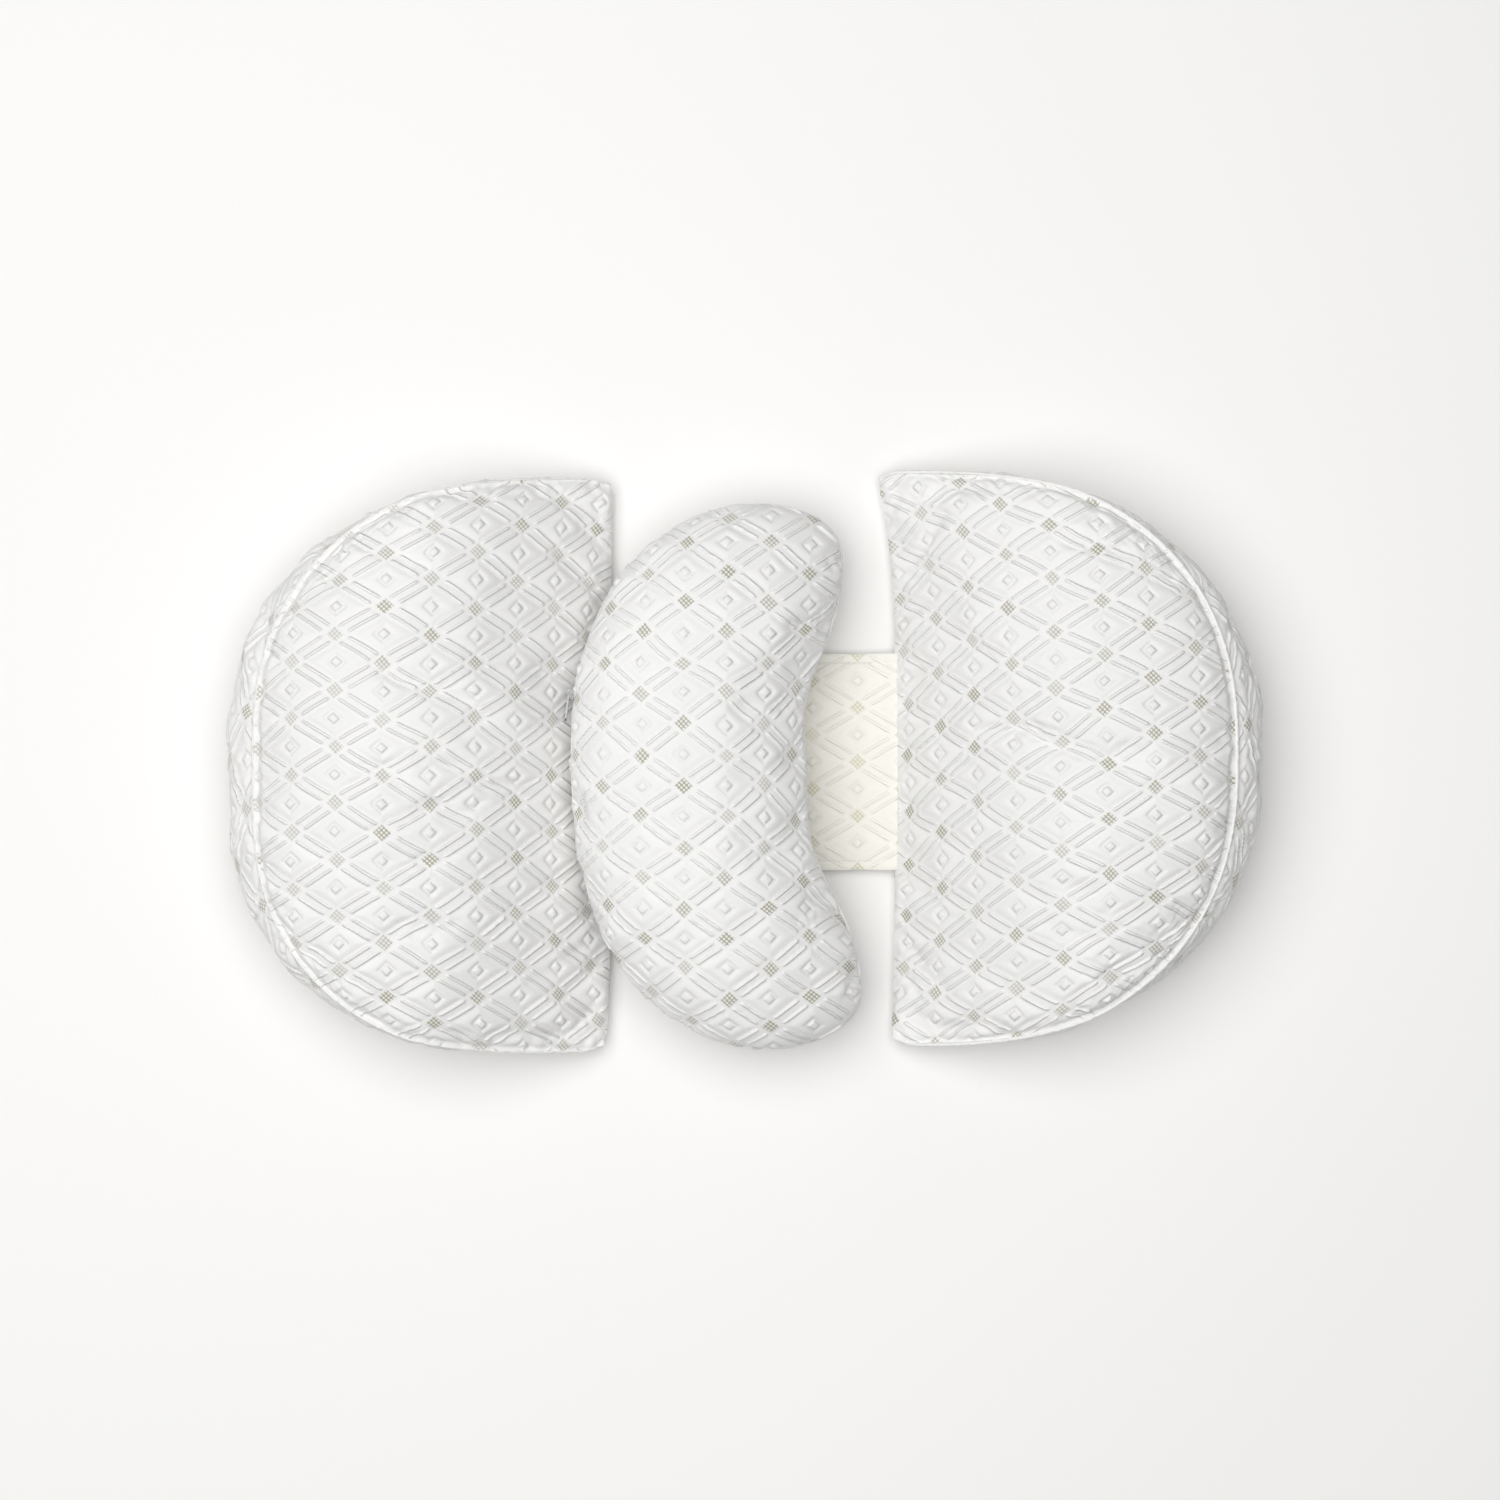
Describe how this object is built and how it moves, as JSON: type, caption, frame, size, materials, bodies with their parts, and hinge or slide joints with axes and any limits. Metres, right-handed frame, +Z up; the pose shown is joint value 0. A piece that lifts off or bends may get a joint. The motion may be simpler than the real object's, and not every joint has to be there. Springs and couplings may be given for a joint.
{
  "type": "side sleeper support pillow",
  "caption": "Two half-moon wedge cushions joined by a wide adjustable fabric strap, with a loose crescent cushion on the strap, all in a quilted diamond knit.",
  "frame": {"origin": "on the floor under the middle of the pillow's box", "axes": "+X from the left wedge to the right wedge, +Y towards the back corners, +Z up"},
  "size_m": [0.699, 0.399, 0.116],
  "materials": {
    "quilted_knit": "white quilted air-layer knit with raised diamond ridges and small beige mesh diamonds",
    "strap_knit": "cream quilted knit, double layer with stitched hems",
    "lining_cloth": "plain thin non-woven lining",
    "fibre_fill": "loose hollow-fibre filling",
    "zip_tape": "woven zipper tape",
    "zip_coil": "nylon coil",
    "zip_metal": "dark plated slider and pull",
    "hook_and_loop": "nylon hook and loop tape"
  },
  "bodies": {
    "left_wedge": {"left_cover_top": "quilted_knit", "left_gusset": "quilted_knit", "left_cover_bottom": "quilted_knit", "left_lining_top": "lining_cloth", "left_lining_bottom": "lining_cloth", "left_fill": "fibre_fill", "left_zip_tape": "zip_tape", "left_zip_coil": "zip_coil", "strap_left": "strap_knit", "strap_loop_patch": "hook_and_loop"},
    "right_strap": {"strap_right": "strap_knit", "strap_hook_patch": "hook_and_loop"},
    "right_wedge": {"right_cover_top": "quilted_knit", "right_gusset": "quilted_knit", "right_cover_bottom": "quilted_knit", "right_lining_top": "lining_cloth", "right_lining_bottom": "lining_cloth", "right_fill": "fibre_fill", "right_zip_tape": "zip_tape", "right_zip_coil": "zip_coil"},
    "crescent": {"bump_cover_top": "quilted_knit", "bump_cover_bottom": "quilted_knit", "bump_lining_top": "lining_cloth", "bump_lining_bottom": "lining_cloth", "bump_fill": "fibre_fill", "bump_zip_tape": "zip_tape", "bump_zip_coil": "zip_coil"},
    "left_slider": {"left_zip_slider": "zip_metal"},
    "left_pull": {"left_zip_pull": "zip_metal"},
    "right_slider": {"right_zip_slider": "zip_metal"},
    "right_pull": {"right_zip_pull": "zip_metal"},
    "crescent_slider": {"bump_zip_slider": "zip_metal"},
    "crescent_pull": {"bump_zip_pull": "zip_metal"}
  },
  "joints": [
    {"name": "strap_adjust", "type": "slide", "parent": "left_wedge", "child": "right_strap", "axis": [1, 0, 0], "range_m": [-0.004, 0.05]},
    {"name": "right_fold", "type": "hinge", "parent": "right_strap", "child": "right_wedge", "pos_m": [0.104, 0, 0.014], "axis": [0, -1, 0], "range_deg": [0, 60]},
    {"name": "crescent_lift", "type": "slide", "parent": "left_wedge", "child": "crescent", "axis": [0, 0, 1], "range_m": [0, 0.12]},
    {"name": "left_zip_slide", "type": "hinge", "parent": "left_wedge", "child": "left_slider", "pos_m": [-0.06496, -0.00888, 0.01825], "axis": [0, 0, 1], "range_deg": [-37.6, 0]},
    {"name": "left_pull_swing", "type": "hinge", "parent": "left_slider", "child": "left_pull", "pos_m": [-0.33752, -0.08988, 0.01825], "axis": [0, 0, 1], "range_deg": [0, 150]},
    {"name": "right_zip_slide", "type": "hinge", "parent": "right_wedge", "child": "right_slider", "pos_m": [0.12289, 0.00581, 0.01825], "axis": [0, 0, 1], "range_deg": [0, 48.1]},
    {"name": "right_pull_swing", "type": "hinge", "parent": "right_slider", "child": "right_pull", "pos_m": [0.32758, -0.09082, 0.01825], "axis": [0, 0, 1], "range_deg": [-150, 0]},
    {"name": "crescent_zip_slide", "type": "hinge", "parent": "crescent", "child": "crescent_slider", "pos_m": [0.23142, 0.00159, 0.05125], "axis": [0, 0, 1], "range_deg": [0, 22.8]},
    {"name": "crescent_pull_swing", "type": "hinge", "parent": "crescent_slider", "child": "crescent_pull", "pos_m": [-0.11971, 0.04778, 0.05125], "axis": [0, 0, 1], "range_deg": [-10, 0]}
  ]
}
